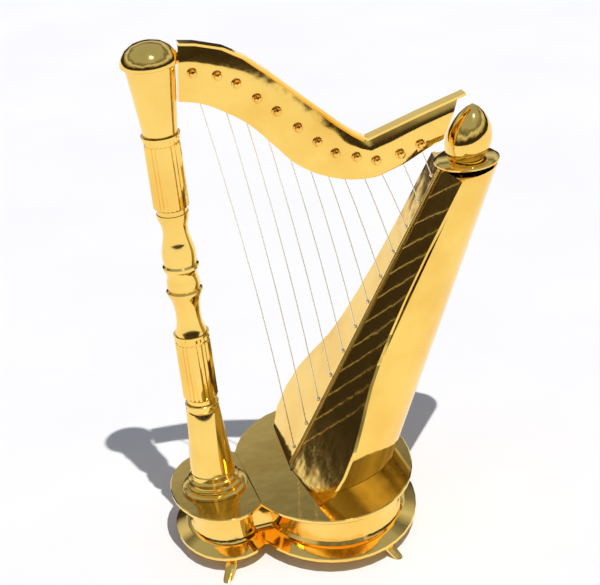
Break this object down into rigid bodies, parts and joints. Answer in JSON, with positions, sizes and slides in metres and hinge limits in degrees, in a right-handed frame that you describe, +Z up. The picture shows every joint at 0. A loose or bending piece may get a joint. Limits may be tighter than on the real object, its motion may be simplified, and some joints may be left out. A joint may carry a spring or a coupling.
{
  "type": "miniature_harp",
  "caption": "Miniature polished gold-plated harp ornament with a fluted column, swan neck, turning tuning pins, thin wire strings and a two-lobed footed base",
  "frame": {"origin": "centre of the bounding box at floor level", "axes": "+Z up, +X from the column towards the soundbox, -Y towards the front with the pin heads"},
  "size_m": [0.1262, 0.0826, 0.1814],
  "materials": {
    "gold": "mirror-polished gold plate",
    "wire": "fine drawn wire"
  },
  "bodies": {
    "harp": {"base_bottom_plate": "gold", "base_wall": "gold", "base_top_plate": "gold", "foot_front_left": "gold", "foot_back_left": "gold", "foot_front_right": "gold", "foot_back_right": "gold", "column_plinth": "gold", "column_lower_taper": "gold", "column_lower_drum": "gold", "column_baluster": "gold", "column_upper_drum": "gold", "column_upper_taper": "gold", "column_cap": "gold", "neck_plate": "gold", "neck_top_strip": "gold", "soundboard": "gold", "string_rib": "gold", "soundbox_shell": "gold", "shoulder_collar": "gold", "dome_finial": "gold", "string_01": "wire", "string_02": "wire", "string_03": "wire", "string_04": "wire", "string_05": "wire", "string_06": "wire", "string_07": "wire", "string_08": "wire", "string_09": "wire", "string_10": "wire", "string_11": "wire", "string_12": "wire"},
    "pin_01": {"tuning_pin_01": "gold"},
    "pin_02": {"tuning_pin_02": "gold"},
    "pin_03": {"tuning_pin_03": "gold"},
    "pin_04": {"tuning_pin_04": "gold"},
    "pin_05": {"tuning_pin_05": "gold"},
    "pin_06": {"tuning_pin_06": "gold"},
    "pin_07": {"tuning_pin_07": "gold"},
    "pin_08": {"tuning_pin_08": "gold"},
    "pin_09": {"tuning_pin_09": "gold"},
    "pin_10": {"tuning_pin_10": "gold"},
    "pin_11": {"tuning_pin_11": "gold"},
    "pin_12": {"tuning_pin_12": "gold"}
  },
  "joints": [
    {"name": "turn_pin_01", "type": "hinge", "parent": "harp", "child": "pin_01", "pos_m": [-0.0354, 0, 0.1688], "axis": [0, 1, 0], "range_deg": [-180, 180]},
    {"name": "turn_pin_02", "type": "hinge", "parent": "harp", "child": "pin_02", "pos_m": [-0.0277, 0, 0.1664], "axis": [0, 1, 0], "range_deg": [-180, 180]},
    {"name": "turn_pin_03", "type": "hinge", "parent": "harp", "child": "pin_03", "pos_m": [-0.0219, 0, 0.1626], "axis": [0, 1, 0], "range_deg": [-180, 180]},
    {"name": "turn_pin_04", "type": "hinge", "parent": "harp", "child": "pin_04", "pos_m": [-0.016, 0, 0.1564], "axis": [0, 1, 0], "range_deg": [-180, 180]},
    {"name": "turn_pin_05", "type": "hinge", "parent": "harp", "child": "pin_05", "pos_m": [-0.0102, 0, 0.1509], "axis": [0, 1, 0], "range_deg": [-180, 180]},
    {"name": "turn_pin_06", "type": "hinge", "parent": "harp", "child": "pin_06", "pos_m": [-0.004, 0, 0.144], "axis": [0, 1, 0], "range_deg": [-180, 180]},
    {"name": "turn_pin_07", "type": "hinge", "parent": "harp", "child": "pin_07", "pos_m": [0.0019, 0, 0.1378], "axis": [0, 1, 0], "range_deg": [-180, 180]},
    {"name": "turn_pin_08", "type": "hinge", "parent": "harp", "child": "pin_08", "pos_m": [0.0074, 0, 0.1327], "axis": [0, 1, 0], "range_deg": [-180, 180]},
    {"name": "turn_pin_09", "type": "hinge", "parent": "harp", "child": "pin_09", "pos_m": [0.0143, 0, 0.1299], "axis": [0, 1, 0], "range_deg": [-180, 180]},
    {"name": "turn_pin_10", "type": "hinge", "parent": "harp", "child": "pin_10", "pos_m": [0.0208, 0, 0.1272], "axis": [0, 1, 0], "range_deg": [-180, 180]},
    {"name": "turn_pin_11", "type": "hinge", "parent": "harp", "child": "pin_11", "pos_m": [0.0291, 0, 0.1278], "axis": [0, 1, 0], "range_deg": [-180, 180]},
    {"name": "turn_pin_12", "type": "hinge", "parent": "harp", "child": "pin_12", "pos_m": [0.0363, 0, 0.1296], "axis": [0, 1, 0], "range_deg": [-180, 180]}
  ]
}
